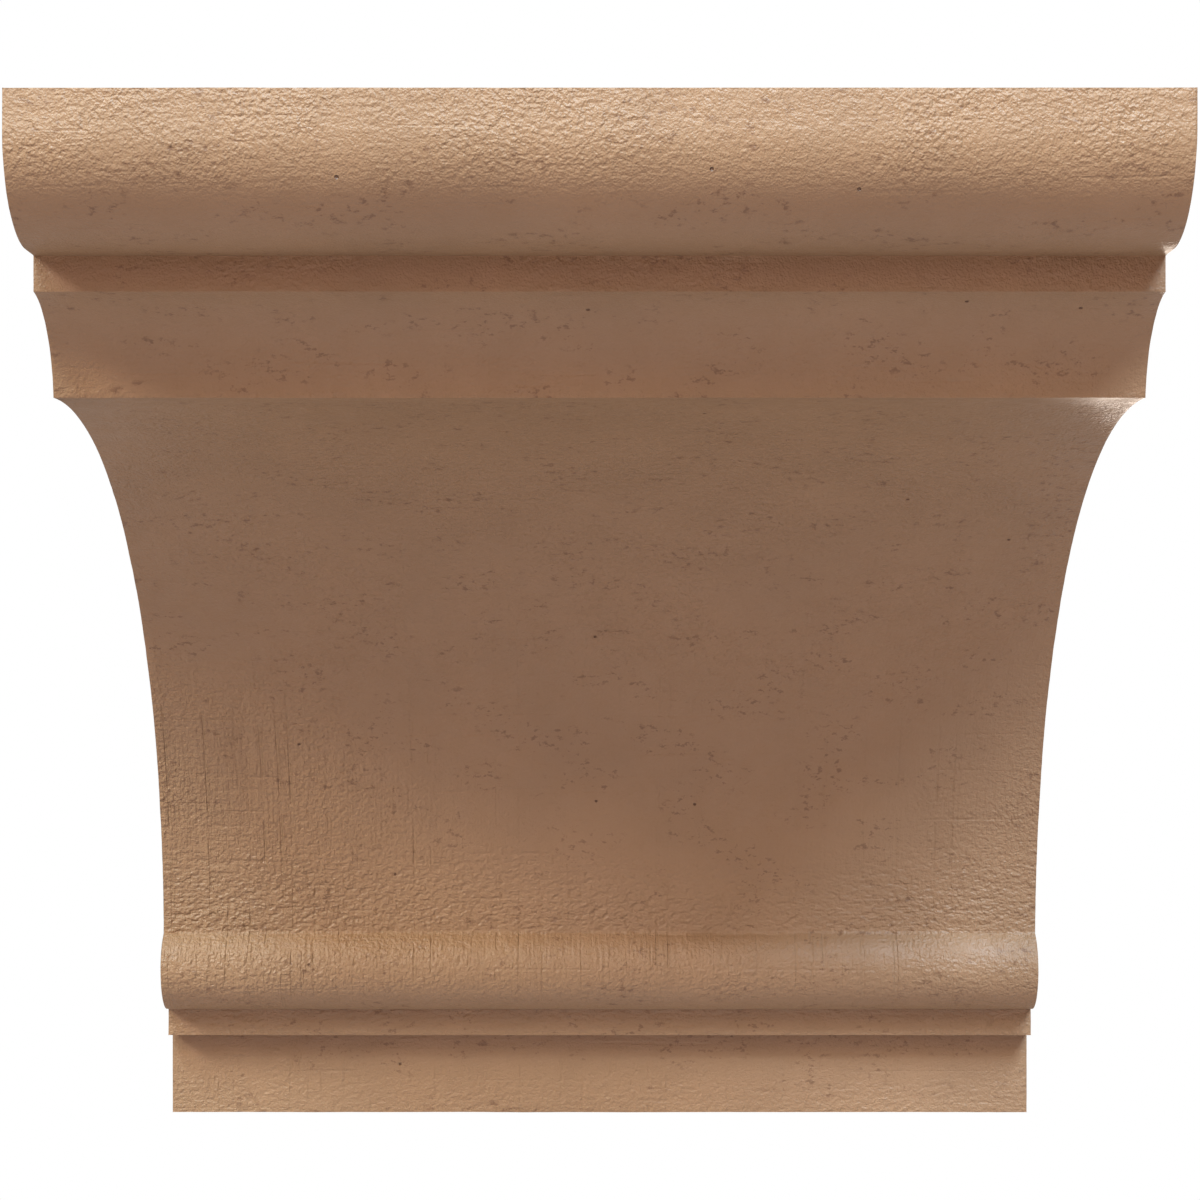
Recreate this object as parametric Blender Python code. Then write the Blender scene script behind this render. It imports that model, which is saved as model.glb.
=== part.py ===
# Corbel, moulded in one piece as imitation rough-sawn timber.
# It is fixed by its flat back and carries a beam or a shelf on its flat top.
# One profile, which steps and sweeps back from the top to the tail, runs straight through from
# side to side. The origin is the centre of the back, +Y points into the wall, the front faces
# -Y and +Z is up.

import math

import bpy
from mathutils import Vector

# Straight through, from side to side (metres)
WIDTH = 0.3048

# The tail block, where the profile ends
TAIL_DEPTH = 0.0427
TAIL_HEIGHT = 0.0287

# Heights of the other members, from the top down. The ovolo is a quarter circle.
TOP_BAND_HEIGHT = 0.0103
OVOLO_RADIUS = 0.0267
NECK_HEIGHT = 0.0097
COVE_HEIGHT = 0.0257
SWEEP_HEIGHT = 0.1666
BEAD_HEIGHT = 0.0276
LOWER_FILLET_HEIGHT = 0.0095

# How far the front falls back over the members, and at the level steps between them
SOFFIT_STEP = 0.0098
COVE_RECESS = 0.0258
SWEEP_RECESS = 0.1815
BEAD_RECESS = 0.0079
BEAD_STEP = 0.0014
FILLET_STEP = 0.0090

# Rise of each arc over its chord
COVE_RISE = 0.0061
SWEEP_RISE = 0.0507
BEAD_RISE = 0.0108

# The turn from one facet of an arc to the next
ARC_STEP = math.radians(3.0)

TOP = (TOP_BAND_HEIGHT + OVOLO_RADIUS + NECK_HEIGHT + COVE_HEIGHT + SWEEP_HEIGHT
       + BEAD_HEIGHT + LOWER_FILLET_HEIGHT + TAIL_HEIGHT) / 2
DEPTH = (TAIL_DEPTH + OVOLO_RADIUS + SOFFIT_STEP + COVE_RECESS + SWEEP_RECESS
         + BEAD_RECESS + BEAD_STEP + FILLET_STEP)


def clear_scene():
    for scene_object in list(bpy.data.objects):
        bpy.data.objects.remove(scene_object)


# Profile
# Its points are (recess, drop): the distance back from the foremost face, and the distance
# below the top.

def straight(start, recess, drop):
    return [start + Vector((recess, drop))]


def quarter_round(start, radius):
    # A convex quarter circle, upright where it starts and level where it ends.
    steps = math.ceil(math.pi / 2 / ARC_STEP)
    points = []
    for step in range(1, steps + 1):
        angle = math.pi / 2 * step / steps
        points.append(start + radius * Vector((1 - math.cos(angle), math.sin(angle))))
    return points


def arc(start, recess, drop, rise):
    # A circular arc. A positive rise hollows the face and a negative one makes it bulge.
    chord = Vector((recess, drop))
    along = chord.normalized()
    outward = Vector((along.y, -along.x)) * math.copysign(1, rise)
    half_chord = chord.length / 2
    half_angle = 2 * math.atan(abs(rise) / half_chord)
    radius = half_chord / math.sin(half_angle)
    centre = start + chord / 2 - outward * radius * math.cos(half_angle)
    steps = math.ceil(2 * half_angle / ARC_STEP)
    points = []
    for step in range(1, steps + 1):
        angle = half_angle * (2 * step / steps - 1)
        spoke = outward * math.cos(angle) + along * math.sin(angle)
        points.append(centre + spoke * radius)
    return points


def profile():
    points = [Vector((0, 0))]
    points += straight(points[-1], 0, TOP_BAND_HEIGHT)
    points += quarter_round(points[-1], OVOLO_RADIUS)
    points += straight(points[-1], SOFFIT_STEP, 0)
    points += straight(points[-1], 0, NECK_HEIGHT)
    points += arc(points[-1], COVE_RECESS, COVE_HEIGHT, COVE_RISE)
    points += arc(points[-1], SWEEP_RECESS, SWEEP_HEIGHT, SWEEP_RISE)
    points += arc(points[-1], BEAD_RECESS, BEAD_HEIGHT, -BEAD_RISE)
    points += straight(points[-1], BEAD_STEP, 0)
    points += straight(points[-1], 0, LOWER_FILLET_HEIGHT)
    points += straight(points[-1], FILLET_STEP, 0)
    points += straight(points[-1], 0, TAIL_HEIGHT)
    return points


def side_outline():
    # The profile, closed by the flat back, as distances along Y and Z.
    front = [(point.x - DEPTH, TOP - point.y) for point in profile()]
    back = [(0, -TOP), (0, TOP)]
    return front + back


# Material

def primed_foam():
    material = bpy.data.materials.new("primed_foam")
    material.use_nodes = True
    shader = material.node_tree.nodes["Principled BSDF"]
    shader.inputs["Base Color"].default_value = (0.33, 0.22, 0.145, 1)
    shader.inputs["Roughness"].default_value = 0.55
    shader.inputs["Metallic"].default_value = 0
    return material


# The casting

def corbel():
    # The side outline, drawn flat, given the width as its thickness and stood upright.
    curve = bpy.data.curves.new("corbel", "CURVE")
    curve.dimensions = "2D"
    curve.fill_mode = "BOTH"
    curve.extrude = WIDTH / 2
    outline = side_outline()
    spline = curve.splines.new("POLY")
    spline.points.add(len(outline) - 1)
    for point, (along, up) in zip(spline.points, outline):
        point.co = (along, up, 0, 1)
    spline.use_cyclic_u = True
    curve.materials.append(primed_foam())
    casting = bpy.data.objects.new("corbel", curve)
    casting.rotation_euler = (math.pi / 2, 0, math.pi / 2)
    parts = bpy.data.collections.new("corbel_parts")
    bpy.context.scene.collection.children.link(parts)
    parts.objects.link(casting)


clear_scene()
corbel()
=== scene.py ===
import math

import bmesh
import bpy
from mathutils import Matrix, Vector, noise


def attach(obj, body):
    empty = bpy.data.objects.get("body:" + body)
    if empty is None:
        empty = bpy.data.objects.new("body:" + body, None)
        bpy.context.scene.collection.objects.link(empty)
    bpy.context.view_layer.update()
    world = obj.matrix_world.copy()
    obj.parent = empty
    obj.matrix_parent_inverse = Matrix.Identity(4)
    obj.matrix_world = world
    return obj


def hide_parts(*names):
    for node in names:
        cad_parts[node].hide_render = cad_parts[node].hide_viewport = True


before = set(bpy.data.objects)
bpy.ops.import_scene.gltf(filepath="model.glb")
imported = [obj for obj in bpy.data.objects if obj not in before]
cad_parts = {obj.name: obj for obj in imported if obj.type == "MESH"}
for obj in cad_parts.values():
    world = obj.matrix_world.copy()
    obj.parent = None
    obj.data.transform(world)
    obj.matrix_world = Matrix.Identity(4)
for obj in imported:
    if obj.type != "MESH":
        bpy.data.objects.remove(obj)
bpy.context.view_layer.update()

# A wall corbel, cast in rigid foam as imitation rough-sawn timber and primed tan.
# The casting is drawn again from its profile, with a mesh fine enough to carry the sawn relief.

# The casting (metres), from the top down. Its flat back lies at y = 0, and z = 0 is at mid height.
WIDTH = 0.3048
DEPTH = 0.3048
TOP = 0.1524
TOP_BAND_HEIGHT = 0.0103
OVOLO_RADIUS = 0.0267
SOFFIT_STEP = 0.0098
NECK_HEIGHT = 0.0097
COVE_RECESS, COVE_HEIGHT, COVE_RISE = 0.0258, 0.0257, 0.0061
SWEEP_RECESS, SWEEP_HEIGHT, SWEEP_RISE = 0.1815, 0.1666, 0.0507
BEAD_RECESS, BEAD_HEIGHT, BEAD_RISE = 0.0079, 0.0276, 0.0108
BEAD_STEP = 0.0014
LOWER_FILLET_HEIGHT = 0.0095
FILLET_STEP = 0.0090
TAIL_HEIGHT = 0.0287
TAIL_DEPTH = 0.0427

# The mesh: its pitch along the profile, across it, on the plain faces and on the sides, and the
# narrow rows beside each arris
ROW_PITCH = 0.0015
COLUMN_PITCH = 0.0016
PLAIN_PITCH = 0.0070
SIDE_PITCH = 0.0036
ARRIS_ROW = 0.0007
SIDE_RIM = 0.0003

# The bend at an edge from which it counts as an arris, and from which it is shaded sharp (degrees)
ARRIS_ANGLE = 25
SHARP_ANGLE = 50

# The part of a face's normal along an axis from which it faces that way, how near a place has to
# be to the back, the top or the underside to lie on it, and a line just behind the tail's front
FACING = 0.7
NEAR = 0.0005
FRONT_LIMIT = -0.0415

# Relief in the mesh: how deep each mark is (metres), and how many noise cells it has in a metre.
# The creases sway up and down by CREASE_SWAY, and an arris keeps only a part of the marks.
UNDULATION, UNDULATION_FINENESS = 0.00016, 34.0
PEBBLE, PEBBLE_FINENESS = 0.00010, 260.0
SAW_GROOVE, SAW_ACROSS, SAW_ALONG = 0.00012, 210.0, 9.0
CREASE, CREASE_ACROSS, CREASE_ALONG = 0.00022, 38.0, 230.0
CREASE_SWAY = 0.004
ARRIS_WEAR = 0.00018
ARRIS_RELIEF = 0.5

# Relief in the material: how high each mark is (metres) where its share is 1
LUMP_BUMP, CHIP_BUMP, STIPPLE_BUMP = 0.00130, 0.00070, 0.00022
BRUSH_BUMP, LINE_BUMP = 0.00015, 0.00010
CRUMPLE_BUMP = 0.00036
ROW_BUMP_LEAST, ROW_BUMP_MOST = 0.00008, 0.00014
PINHOLE_BUMP = -0.0006

# Pebble, saw line and crease along the front: the distance down the profile, then each one's share
MARKS = (
    (0.0000, 0.48, 0.10, 0.12),
    (0.0103, 0.43, 0.10, 0.14),
    (0.0170, 0.37, 0.10, 0.14),
    (0.0230, 0.27, 0.10, 0.12),
    (0.0290, 0.17, 0.10, 0.10),
    (0.0522, 0.18, 0.10, 0.10),
    (0.0620, 0.22, 0.05, 0.10),
    (0.0717, 0.28, 0.10, 0.20),
    (0.0760, 0.22, 0.60, 0.15),
    (0.1108, 0.26, 0.40, 0.15),
    (0.2000, 0.45, 0.50, 0.18),
    (0.2700, 0.48, 0.80, 0.18),
    (0.3000, 0.50, 1.60, 0.18),
    (0.3300, 0.48, 2.40, 0.22),
    (0.3520, 0.42, 2.20, 0.24),
    (0.3620, 0.42, 1.50, 0.80),
    (0.3780, 0.42, 1.30, 1.10),
    (0.3835, 0.42, 1.30, 0.75),
    (0.3845, 0.48, 2.60, 0.20),
    (0.3960, 0.52, 2.40, 0.25),
    (0.4040, 0.56, 1.80, 0.45),
    (0.4226, 0.40, 0.60, 0.30),
    (0.4240, 0.28, 0.20, 0.62),
    (0.4335, 0.28, 0.20, 0.62),
    (0.4425, 0.18, 0.30, 0.20),
    (0.4580, 0.22, 0.90, 0.20),
    (0.4620, 0.26, 0.80, 0.36),
    (0.4712, 0.26, 0.60, 0.44),
)

# The saw line's share from which the long fine streaks are as deep as they get
FULL_SAW = 2.4

# From the sweep's foot down, the marks also change across the front. An end begins so far from the
# middle and is full after its width. For pebble, saw line and crease: what the left end and the
# right end add, and what all of the front loses. It fades in over a distance below the foot, and
# is weaker from the bead's top down.
SWEEP_FOOT, BEAD_TOP = 0.280, 0.384
LEFT_START, LEFT_WIDTH = 0.04, 0.08
RIGHT_START, RIGHT_WIDTH = 0.08, 0.06
END_SHARES = ((0.75, 0.50, 0.60), (0.85, 0.10, 0.50), (0.35, 0.05, 0.15))
FADE_LENGTH = 0.03
BEAD_FADE = 0.4

# The same three shares on the faces that the photo doesn't show
SIDE_MARKS = (0.42, 0.80, 0.14)
TOP_MARKS = (0.45, 0.50, 0.20)
BACK_MARKS = (0.25, 0.15, 0.10)

# Primer, the painted shade of its pits and pinholes, and the floor
PRIMER_DARK = (0.306, 0.188, 0.1035, 1)
PRIMER_LIGHT = (0.339, 0.208, 0.1145, 1)
PAINTED_PIT_SHADE = (0.42, 0.31, 0.26, 1)
FLOOR_COLOUR = (0.40, 0.336, 0.32, 1)
WHITE = (1, 1, 1, 1)

FLOOR_RADIUS = 1.35
FLOOR_PLACE = (0, -0.1, -0.45)

# The studio's lamps: azimuth and elevation (degrees), strength, colour and softness (degrees).
# Azimuth 0 is straight before the front, and positive to the viewer's right.
LAMPS = {
    "key": (0, 37, 0.68, (1.0, 0.88, 0.72), 12),
    "high_right": (22, 54, 2.22, (0.70, 0.85, 1.0), 12),
    "high_left": (-22, 54, 1.55, (0.73, 0.91, 1.0), 12),
    "right": (30, 44, 1.78, (0.65, 0.83, 1.0), 12),
    "left": (-45, 40, 0.52, (0.90, 1.0, 0.60), 12),
    "far_left": (-58, 34, 2.00, (1.0, 0.93, 0.91), 12),
    "front": (0, 24, 0.31, (1.0, 0.79, 0.50), 20),
    "low_front": (0, 12, 0.31, (1.0, 0.64, 0.64), 20),
    "under": (0, -15, 0.56, (1.0, 0.63, 0.49), 25),
    "rim": (165, -10, 0.65, (1.0, 0.86, 0.73), 12),
    "back": (190, 25, 0.70, (1.0, 0.90, 0.80), 20),
    "right_side": (105, 12, 1.0, (1.0, 0.66, 0.44), 15),
}
ROOM_LIGHT = 0.01

# The camera: level with the casting's middle, a little over two widths before its front. The last
# three are read from the picture, in its pixels.
VIEW_DISTANCE = 4.3 * WIDTH / 2
SENSOR_WIDTH = 36
PICTURE = 1200
FRONT_HALF_WIDTH = 598.4
FRONT_CENTRE = 599.6
EYE_LEVEL = 685.2


# The profile, drawn from one point that is pushed straight or swung round a centre

def push(form, tip, back, up, pitch=ROW_PITCH):
    # A straight run, with a narrow row at either end where it is long enough.
    length = math.hypot(back, up)
    stops = [0.0, 1.0]
    if length > 4 * ARRIS_ROW:
        margin = ARRIS_ROW / length
        inner = max(1, round((length - 2 * ARRIS_ROW) / pitch))
        between = [margin + (1 - 2 * margin) * step / inner for step in range(inner + 1)]
        stops = [0.0, *between, 1.0]
    for before, after in zip(stops, stops[1:]):
        tip = bmesh.ops.extrude_vert_indiv(form, verts=[tip])["verts"][0]
        share = after - before
        bmesh.ops.translate(form, verts=[tip], vec=(0, back * share, up * share))
    return tip


def turn_about(form, tip, centre, angle):
    # An arc about a centre, with a narrow row at either end.
    radius = (tip.co - centre).length
    margin = math.copysign(ARRIS_ROW / radius, angle)
    inner = max(2, round((abs(angle) * radius - 2 * ARRIS_ROW) / ROW_PITCH))
    for turn, steps in ((margin, 1), (angle - 2 * margin, inner), (margin, 1)):
        ring = bmesh.ops.spin(form, geom=[tip], cent=centre, axis=(1, 0, 0), angle=turn,
                              steps=steps, use_merge=False)
        tip = [item for item in ring["geom_last"] if isinstance(item, bmesh.types.BMVert)][0]
    return tip


def swing(form, tip, recess, drop, rise):
    # A circular arc across a chord. A positive rise hollows the face, a negative one bulges it.
    chord = Vector((0, recess, -drop))
    inward = Vector((0, drop, recess)).normalized() * math.copysign(1, rise)
    half_angle = 2 * math.atan(2 * abs(rise) / chord.length)
    radius = chord.length / 2 / math.sin(half_angle)
    centre = tip.co + chord / 2 - inward * radius * math.cos(half_angle)
    return turn_about(form, tip, centre, -math.copysign(2 * half_angle, rise))


def measure_run(form):
    # Keeps, on each point of the open line, its distance from the first one. Gives its length.
    run = form.verts.layers.float["run"]
    form.verts.ensure_lookup_table()
    point = form.verts[0]
    edge = None
    total = 0.0
    while True:
        point[run] = total
        onward = [other for other in point.link_edges if other is not edge]
        if not onward:
            return total
        edge = onward[0]
        total += edge.calc_length()
        point = edge.other_vert(point)


def draw_outline(form):
    # The front from the top arris down to the tail, then the tail's underside, the flat back
    # and the top, closed where it began. Gives the length of the front.
    start = form.verts.new((-WIDTH / 2, -DEPTH, TOP))
    tip = push(form, start, 0, -TOP_BAND_HEIGHT)
    tip = turn_about(form, tip, tip.co + Vector((0, OVOLO_RADIUS, 0)), math.pi / 2)
    tip = push(form, tip, SOFFIT_STEP, 0)
    tip = push(form, tip, 0, -NECK_HEIGHT)
    tip = swing(form, tip, COVE_RECESS, COVE_HEIGHT, COVE_RISE)
    tip = swing(form, tip, SWEEP_RECESS, SWEEP_HEIGHT, SWEEP_RISE)
    tip = swing(form, tip, BEAD_RECESS, BEAD_HEIGHT, -BEAD_RISE)
    tip = push(form, tip, BEAD_STEP, 0)
    tip = push(form, tip, 0, -LOWER_FILLET_HEIGHT)
    tip = push(form, tip, FILLET_STEP, 0)
    tip = push(form, tip, 0, -TAIL_HEIGHT)
    front_run = measure_run(form)
    tip = push(form, tip, TAIL_DEPTH, 0, PLAIN_PITCH)
    tip = push(form, tip, 0, 2 * TOP, PLAIN_PITCH)
    tip = push(form, tip, -DEPTH, 0, PLAIN_PITCH)
    bmesh.ops.weld_verts(form, targetmap={tip: start})
    return front_run


def pull_across(form):
    # The outline is pulled from the left side to the right one, a narrow row at either side.
    rim = list(form.edges)
    for reach in (ARRIS_ROW, WIDTH - 2 * ARRIS_ROW, ARRIS_ROW):
        pulled = bmesh.ops.extrude_edge_only(form, edges=rim)["geom"]
        rim = [item for item in pulled if isinstance(item, bmesh.types.BMEdge)]
        points = [item for item in pulled if isinstance(item, bmesh.types.BMVert)]
        bmesh.ops.translate(form, verts=points, vec=(reach, 0, 0))
    long_edges = [edge for edge in form.edges if edge.calc_length() > WIDTH * 0.9]
    bmesh.ops.subdivide_edges(form, edges=long_edges, use_grid_fill=True,
                              cuts=round((WIDTH - 2 * ARRIS_ROW) / COLUMN_PITCH) - 1)


def close_side(form, x):
    # One flat side: a narrow rim beside the arris, and inside it a grid that can take relief.
    rim = [edge for edge in form.edges if edge.is_boundary and abs(edge.verts[0].co.x - x) < 1e-5]
    side = bmesh.ops.contextual_create(form, geom=rim)["faces"][0]
    bmesh.ops.inset_region(form, faces=[side], thickness=SIDE_RIM, use_even_offset=True)
    cut = [side] + list(side.edges) + list(side.verts)
    for normal, low, high in (((0, 1, 0), -DEPTH, 0.0), ((0, 0, 1), -TOP, TOP)):
        count = math.ceil((high - low) / SIDE_PITCH)
        for step in range(1, count):
            level = low + (high - low) * step / count
            cut = bmesh.ops.bisect_plane(form, geom=cut, dist=1e-6, plane_no=normal,
                                         plane_co=Vector(normal) * level)["geom"]
    faces = [item for item in cut if isinstance(item, bmesh.types.BMFace)]
    bmesh.ops.triangulate(form, faces=faces)


# The surface

def clamp(value):
    return min(1.0, max(0.0, value))


def marks_at(across, along):
    # How much pebble, saw line and crease there is at a place on the front. From the sweep's foot
    # down, all three are strongest toward the left end, and the right end has few lines.
    for before, after in zip(MARKS, MARKS[1:]):
        if along <= after[0]:
            break
    share = clamp((along - before[0]) / (after[0] - before[0]))
    marks = [low + (high - low) * share for low, high in zip(before[1:], after[1:])]
    if along > SWEEP_FOOT:
        left = clamp((-across - LEFT_START) / LEFT_WIDTH)
        right = clamp((across - RIGHT_START) / RIGHT_WIDTH)
        fade = min(1.0, (along - SWEEP_FOOT) / FADE_LENGTH) if along < BEAD_TOP else BEAD_FADE
        marks = [mark * (1.0 + fade * (at_left * left + at_right * right - loss))
                 for mark, (at_left, at_right, loss) in zip(marks, END_SHARES)]
    return marks


def lay_grain(form, front_run):
    # The grain map runs across the front and down along its profile, in metres. The plain faces
    # each take a flat map of their own. The marks are how much pebble, saw line and crease each
    # point has.
    run = form.verts.layers.float["run"]
    grain = form.loops.layers.uv.new("grain")
    marks = form.verts.layers.float_color.new("marks")
    form.normal_update()
    for face in form.faces:
        normal = face.normal
        centre = face.calc_center_median()
        sideways = abs(normal.x) > FACING
        on_back = normal.y > FACING and centre.y > -NEAR
        on_top = normal.z > FACING and centre.z > TOP - NEAR
        underneath = normal.z < -FACING and centre.z < -TOP + NEAR
        for loop in face.loops:
            x, y, z = loop.vert.co
            if sideways:
                loop[grain].uv = (y + 1.0, 0.6 - z)
            elif on_back:
                loop[grain].uv = (x + 2.0, 0.6 - z)
            elif on_top or underneath:
                loop[grain].uv = (x + 3.0, 0.6 - y)
            else:
                loop[grain].uv = (x, loop.vert[run])
    for point in form.verts:
        along = point[run]
        on_side = all(abs(face.normal.x) > FACING for face in point.link_faces)
        on_front = (point.co.y < FRONT_LIMIT and along <= front_run + 1e-6
                    and point.co.z < TOP - 1e-5)
        if on_side:
            shares = SIDE_MARKS
        elif on_front:
            shares = marks_at(point.co.x, along)
        elif point.co.y > -NEAR:
            shares = BACK_MARKS
        else:
            shares = TOP_MARKS
        point[marks] = (*shares, 1.0)


def relief(place, across, along, pebble, saw, crease):
    # How far a point lies below the flat surface, in metres.
    depth = UNDULATION * (0.5 + noise.noise(place * UNDULATION_FINENESS))
    grit = noise.noise(place * PEBBLE_FINENESS + Vector((7.0, 0, 0)))
    depth += PEBBLE * pebble * (0.5 + grit)
    stripe = noise.noise(Vector((across * SAW_ACROSS, along * SAW_ALONG, 3.0)))
    depth += SAW_GROOVE * saw * max(0.0, stripe) * 1.6
    sway = CREASE_SWAY * noise.noise(Vector((across * 40.0, along * 25.0, 9.0)))
    ripple = noise.noise(Vector((across * CREASE_ACROSS, (along + sway) * CREASE_ALONG, 5.0)))
    depth += CREASE * crease * max(0.0, 0.75 - abs(ripple) * 3.0)
    return max(0.0, depth)


def work_surface(form):
    # Presses the relief into the casting, and rubs its outward arrises back.
    run = form.verts.layers.float["run"]
    marks = form.verts.layers.float_color["marks"]
    form.normal_update()
    least = math.radians(ARRIS_ANGLE)
    arrises = {edge for edge in form.edges if edge.calc_face_angle(0.0) >= least}
    moved = []
    for point in form.verts:
        x, y, z = point.co
        pebble, saw, crease, _ = point[marks]
        inside_side = abs(point.normal.x) > 0.9
        across, along = (y, -z) if inside_side else (x, point[run])
        depth = relief(point.co, across, along, pebble, saw, crease)
        beside = [edge for edge in point.link_edges if edge in arrises]
        if beside:
            wear = ARRIS_WEAR if any(edge.is_convex for edge in beside) else 0.0
            depth = depth * ARRIS_RELIEF + wear
        moved.append((point, point.co - point.normal * depth))
    for point, place in moved:
        point.co = place


def casting():
    form = bmesh.new()
    form.verts.layers.float.new("run")
    front_run = draw_outline(form)
    pull_across(form)
    close_side(form, -WIDTH / 2)
    close_side(form, WIDTH / 2)
    bmesh.ops.recalc_face_normals(form, faces=form.faces)
    lay_grain(form, front_run)
    work_surface(form)
    mesh = bpy.data.meshes.new("corbel_casting")
    form.to_mesh(mesh)
    form.free()
    mesh.shade_smooth()
    mesh.set_sharp_from_angle(angle=math.radians(SHARP_ANGLE))
    mesh.materials.append(primed_foam())
    piece = bpy.data.objects.new("corbel_casting", mesh)
    bpy.context.scene.collection.objects.link(piece)
    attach(piece, "root")
    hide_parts("corbel")


# Materials

class Nodes:
    # Shorthand for joining nodes.
    def __init__(self, name):
        self.material = bpy.data.materials.new(name)
        self.material.use_nodes = True
        self.tree = self.material.node_tree
        self.shader = self.tree.nodes["Principled BSDF"]

    def add(self, kind, **settings):
        node = self.tree.nodes.new(kind)
        for name, value in settings.items():
            setattr(node, name, value)
        return node

    def join(self, output, socket):
        self.tree.links.new(output, socket)

    def math(self, operation, first, second):
        node = self.add("ShaderNodeMath", operation=operation)
        for value, socket in ((first, node.inputs[0]), (second, node.inputs[1])):
            if isinstance(value, (int, float)):
                socket.default_value = value
            else:
                self.join(value, socket)
        return node.outputs[0]

    def times(self, first, second):
        return self.math("MULTIPLY", first, second)

    def split(self, colour):
        node = self.add("ShaderNodeSeparateColor")
        self.join(colour, node.inputs["Color"])
        return node.outputs[0], node.outputs[1], node.outputs[2]

    def stretch(self, source, scale, shift=(0, 0, 0)):
        node = self.add("ShaderNodeMapping")
        node.inputs["Scale"].default_value = scale
        node.inputs["Location"].default_value = shift
        self.join(source, node.inputs["Vector"])
        return node.outputs[0]

    def noise(self, source, scale, detail=2.0, roughness=0.5):
        node = self.add("ShaderNodeTexNoise")
        node.inputs["Scale"].default_value = scale
        node.inputs["Detail"].default_value = detail
        node.inputs["Roughness"].default_value = roughness
        self.join(source, node.inputs["Vector"])
        return node.outputs["Fac"]

    def span(self, value, low, high, to_low=0.0, to_high=1.0, smooth=True):
        node = self.add("ShaderNodeMapRange")
        node.interpolation_type = "SMOOTHSTEP" if smooth else "LINEAR"
        node.inputs["From Min"].default_value = low
        node.inputs["From Max"].default_value = high
        node.inputs["To Min"].default_value = to_low
        node.inputs["To Max"].default_value = to_high
        self.join(value, node.inputs["Value"])
        return node.outputs["Result"]


def skin_bumps(nodes, place, pebble_mark):
    # Pebbled skin, a little over 2 mm from grain to grain: strong in some patches, faint in
    # others. Fine stipple lies all over.
    patch = nodes.span(nodes.noise(place, 28.0, 2.0, 0.6), 0.36, 0.64, 0.55, 1.15)
    skin = nodes.times(patch, pebble_mark)
    lumps = nodes.noise(nodes.stretch(place, (900.0, 880.0, 880.0)), 1.0, 1.0, 0.45)
    chips = nodes.noise(nodes.stretch(place, (480.0, 520.0, 520.0), (3, 2, 1)), 1.0, 0.0)
    stipple = nodes.noise(place, 1700.0, 1.0, 0.5)
    return [nodes.times(lumps, nodes.times(skin, LUMP_BUMP)),
            nodes.times(chips, nodes.times(skin, CHIP_BUMP)),
            nodes.times(stipple, STIPPLE_BUMP)]


def saw_bumps(nodes, grain, saw_mark):
    # Upright saw marks: fine brushing, and thin broken lines.
    brushed = nodes.noise(nodes.stretch(grain, (950.0, 110.0, 1.0)), 1.0, 1.0, 0.6)
    lines = nodes.noise(nodes.stretch(grain, (520.0, 3.0, 1.0)), 1.0, 0.0)
    broken = nodes.noise(nodes.stretch(grain, (60.0, 55.0, 1.0), (5, 2, 0)), 1.0, 1.0)
    lines = nodes.times(nodes.span(lines, 0.63, 0.72, 0.0, -1.0), nodes.span(broken, 0.42, 0.52))
    return [nodes.times(brushed, nodes.times(saw_mark, BRUSH_BUMP)),
            nodes.times(lines, nodes.times(saw_mark, LINE_BUMP))]


def crease_bumps(nodes, grain, saw_mark, crease_mark):
    # Level creases: crumpled rows, and long fine streaks that are deeper where it is sawn.
    crumple = nodes.noise(nodes.stretch(grain, (370.0, 560.0, 1.0), (3, 1, 0)), 1.0, 1.0, 0.6)
    crumple = nodes.span(crumple, 0.32, 0.60, smooth=False)
    rows = nodes.noise(nodes.stretch(grain, (18.0, 380.0, 1.0), (1, 4, 0)), 1.0, 1.0, 0.4)
    rows = nodes.span(rows, 0.64, 0.74, 0.0, -1.0)
    row_bump = nodes.span(saw_mark, 0.0, FULL_SAW, ROW_BUMP_LEAST, ROW_BUMP_MOST, smooth=False)
    return [nodes.times(crumple, nodes.times(crease_mark, CRUMPLE_BUMP)),
            nodes.times(rows, row_bump)]


def pinholes(nodes, grain):
    # Pinholes, few and far between: 1 inside one, 0 elsewhere.
    holes = nodes.add("ShaderNodeTexVoronoi", voronoi_dimensions="2D")
    holes.inputs["Scale"].default_value = 30.0
    nodes.join(grain, holes.inputs["Vector"])
    near = nodes.span(holes.outputs["Distance"], 0.008, 0.018, 1.0, 0.0)
    pick, _, _ = nodes.split(holes.outputs["Color"])
    return nodes.times(near, nodes.math("GREATER_THAN", pick, 0.86))


def primer_and_painted_shade(nodes, place, grain, pinhole):
    # A little uneven at random, and darkened by painted shade in pit-like patches and in the
    # pinholes.
    colour = nodes.add("ShaderNodeValToRGB")
    low, high = colour.color_ramp.elements
    low.position, low.color = 0.30, PRIMER_DARK
    high.position, high.color = 0.70, PRIMER_LIGHT
    nodes.join(nodes.noise(place, 26.0, 3.0, 0.6), colour.inputs["Fac"])
    pits = nodes.noise(nodes.stretch(grain, (300.0, 420.0, 1.0)), 1.0, 3.0, 0.7)
    where = nodes.noise(nodes.stretch(grain, (45.0, 75.0, 1.0), (8, 3, 0)), 1.0, 2.0)
    # Painted shade: patches of darker primer where shade would gather in pits, and the same
    # darkening inside the pinholes
    painted_pit_shade = nodes.times(nodes.span(pits, 0.54, 0.66), nodes.span(where, 0.48, 0.60, 0.0, 0.62))
    primer_with_shade = nodes.add("ShaderNodeMix", data_type="RGBA", blend_type="MULTIPLY")
    nodes.join(nodes.math("MAXIMUM", pinhole, painted_pit_shade), primer_with_shade.inputs["Factor"])
    nodes.join(colour.outputs["Color"], primer_with_shade.inputs["A"])
    primer_with_shade.inputs["B"].default_value = PAINTED_PIT_SHADE
    return primer_with_shade.outputs["Result"]


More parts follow.
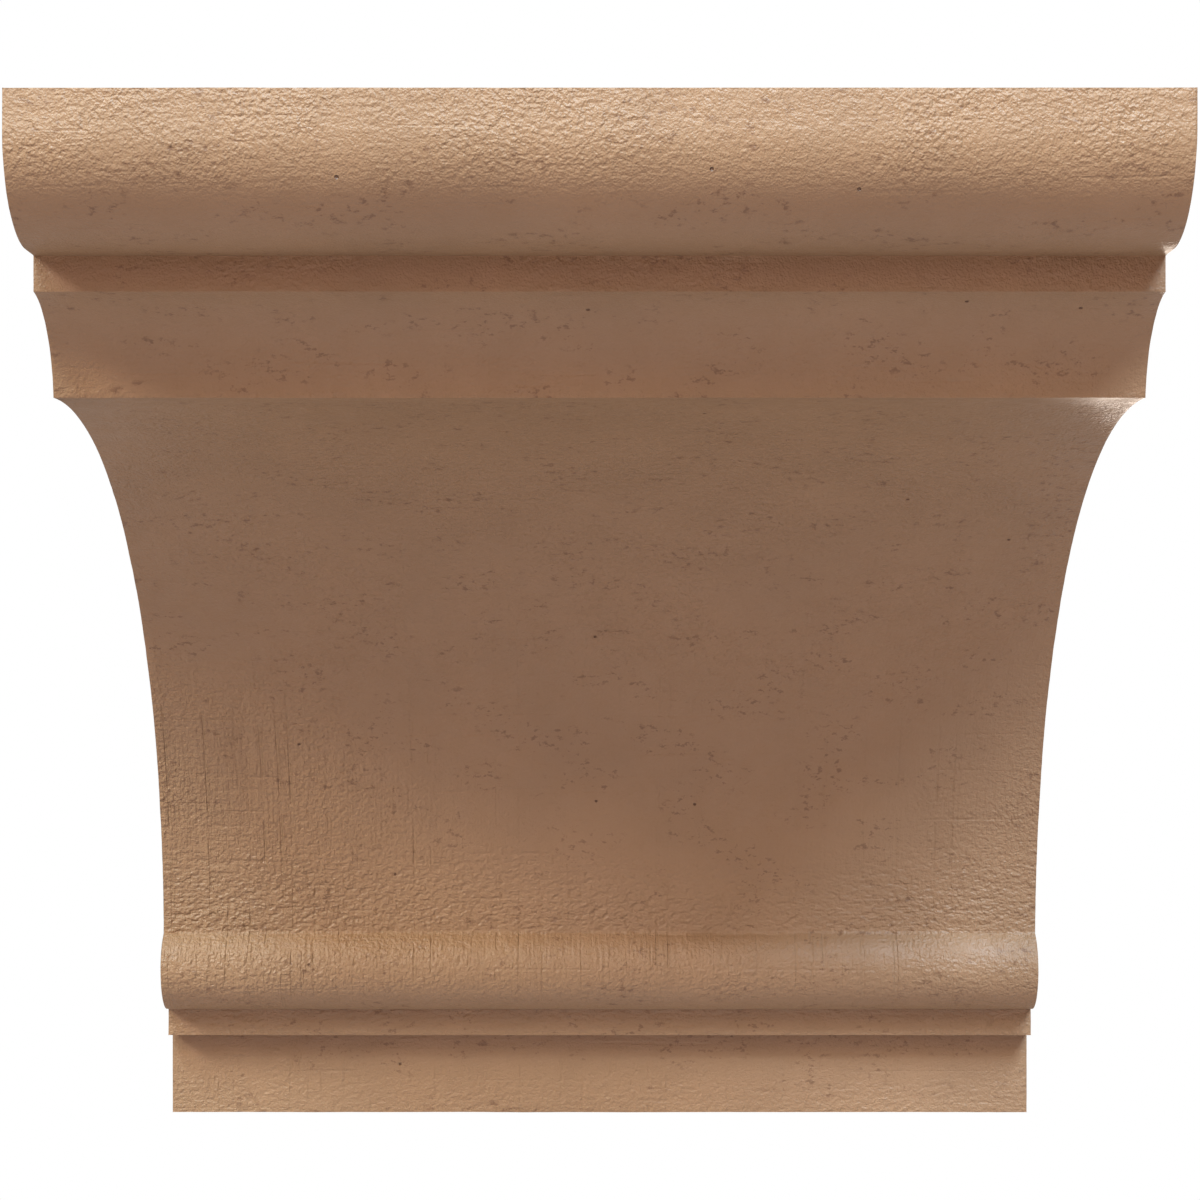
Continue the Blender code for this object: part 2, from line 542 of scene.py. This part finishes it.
def primed_foam():
    nodes = Nodes("primed_foam")
    place = nodes.add("ShaderNodeTexCoord").outputs["Object"]
    grain = nodes.add("ShaderNodeUVMap", uv_map="grain").outputs["UV"]
    marks = nodes.add("ShaderNodeAttribute", attribute_name="marks")
    pebble_mark, saw_mark, crease_mark = nodes.split(marks.outputs["Color"])
    pinhole = pinholes(nodes, grain)

    height, *others = (skin_bumps(nodes, place, pebble_mark) + saw_bumps(nodes, grain, saw_mark)
                       + crease_bumps(nodes, grain, saw_mark, crease_mark))
    for part in (*others, nodes.times(pinhole, PINHOLE_BUMP)):
        height = nodes.math("ADD", height, part)
    bump = nodes.add("ShaderNodeBump")
    bump.inputs["Strength"].default_value = 1.0
    bump.inputs["Distance"].default_value = 1.0
    nodes.join(height, bump.inputs["Height"])
    nodes.join(bump.outputs["Normal"], nodes.shader.inputs["Normal"])

    nodes.join(primer_and_painted_shade(nodes, place, grain, pinhole), nodes.shader.inputs["Base Color"])
    rough = nodes.span(nodes.noise(place, 160.0, 2.0), 0.3, 0.7, 0.44, 0.56)
    nodes.join(rough, nodes.shader.inputs["Roughness"])
    nodes.shader.inputs["Specular IOR Level"].default_value = 0.60
    return nodes.material


def pale_floor():
    nodes = Nodes("pale_floor")
    nodes.shader.inputs["Base Color"].default_value = FLOOR_COLOUR
    nodes.shader.inputs["Roughness"].default_value = 0.8
    return nodes.material


# The studio

def floor():
    form = bmesh.new()
    bmesh.ops.create_circle(form, segments=96, radius=FLOOR_RADIUS, cap_ends=True)
    bmesh.ops.translate(form, verts=form.verts, vec=FLOOR_PLACE)
    mesh = bpy.data.meshes.new("floor")
    form.to_mesh(mesh)
    form.free()
    mesh.materials.append(pale_floor())
    piece = bpy.data.objects.new("floor", mesh)
    bpy.context.scene.collection.objects.link(piece)


def lamp(name, azimuth, elevation, strength, colour, softness):
    # A distant lamp, which only its direction places.
    data = bpy.data.lights.new(name, "SUN")
    data.energy = strength
    data.color = colour
    data.angle = math.radians(softness)
    item = bpy.data.objects.new(name, data)
    bpy.context.scene.collection.objects.link(item)
    turn, lift = math.radians(azimuth), math.radians(elevation)
    toward = Vector((math.sin(turn) * math.cos(lift), -math.cos(turn) * math.cos(lift),
                     math.sin(lift)))
    item.rotation_euler = toward.to_track_quat("Z", "Y").to_euler()


def room():
    # White behind the casting as the camera sees it, and a faint light from all round.
    world = bpy.data.worlds.new("studio")
    world.use_nodes = True
    tree = world.node_tree
    seen = tree.nodes["Background"]
    seen.inputs["Color"].default_value = WHITE
    faint = tree.nodes.new("ShaderNodeBackground")
    faint.inputs["Color"].default_value = WHITE
    faint.inputs["Strength"].default_value = ROOM_LIGHT
    path = tree.nodes.new("ShaderNodeLightPath")
    mix = tree.nodes.new("ShaderNodeMixShader")
    tree.links.new(path.outputs["Is Camera Ray"], mix.inputs[0])
    tree.links.new(faint.outputs[0], mix.inputs[1])
    tree.links.new(seen.outputs[0], mix.inputs[2])
    tree.links.new(mix.outputs[0], tree.nodes["World Output"].inputs["Surface"])
    bpy.context.scene.world = world


def camera():
    data = bpy.data.cameras.new("camera")
    data.sensor_width = SENSOR_WIDTH
    data.lens = SENSOR_WIDTH * VIEW_DISTANCE / (WIDTH / 2) * FRONT_HALF_WIDTH / PICTURE
    data.shift_x = (PICTURE / 2 - FRONT_CENTRE) / PICTURE
    data.shift_y = (EYE_LEVEL - PICTURE / 2) / PICTURE
    data.clip_end = 50
    item = bpy.data.objects.new("camera", data)
    item.location = (0, -DEPTH - VIEW_DISTANCE, 0)
    item.rotation_euler = (math.pi / 2, 0, 0)
    bpy.context.scene.collection.objects.link(item)
    bpy.context.scene.camera = item


casting()
floor()
room()
for lamp_name, setting in LAMPS.items():
    lamp(lamp_name, *setting)
camera()
bpy.context.scene.view_settings.view_transform = "Standard"
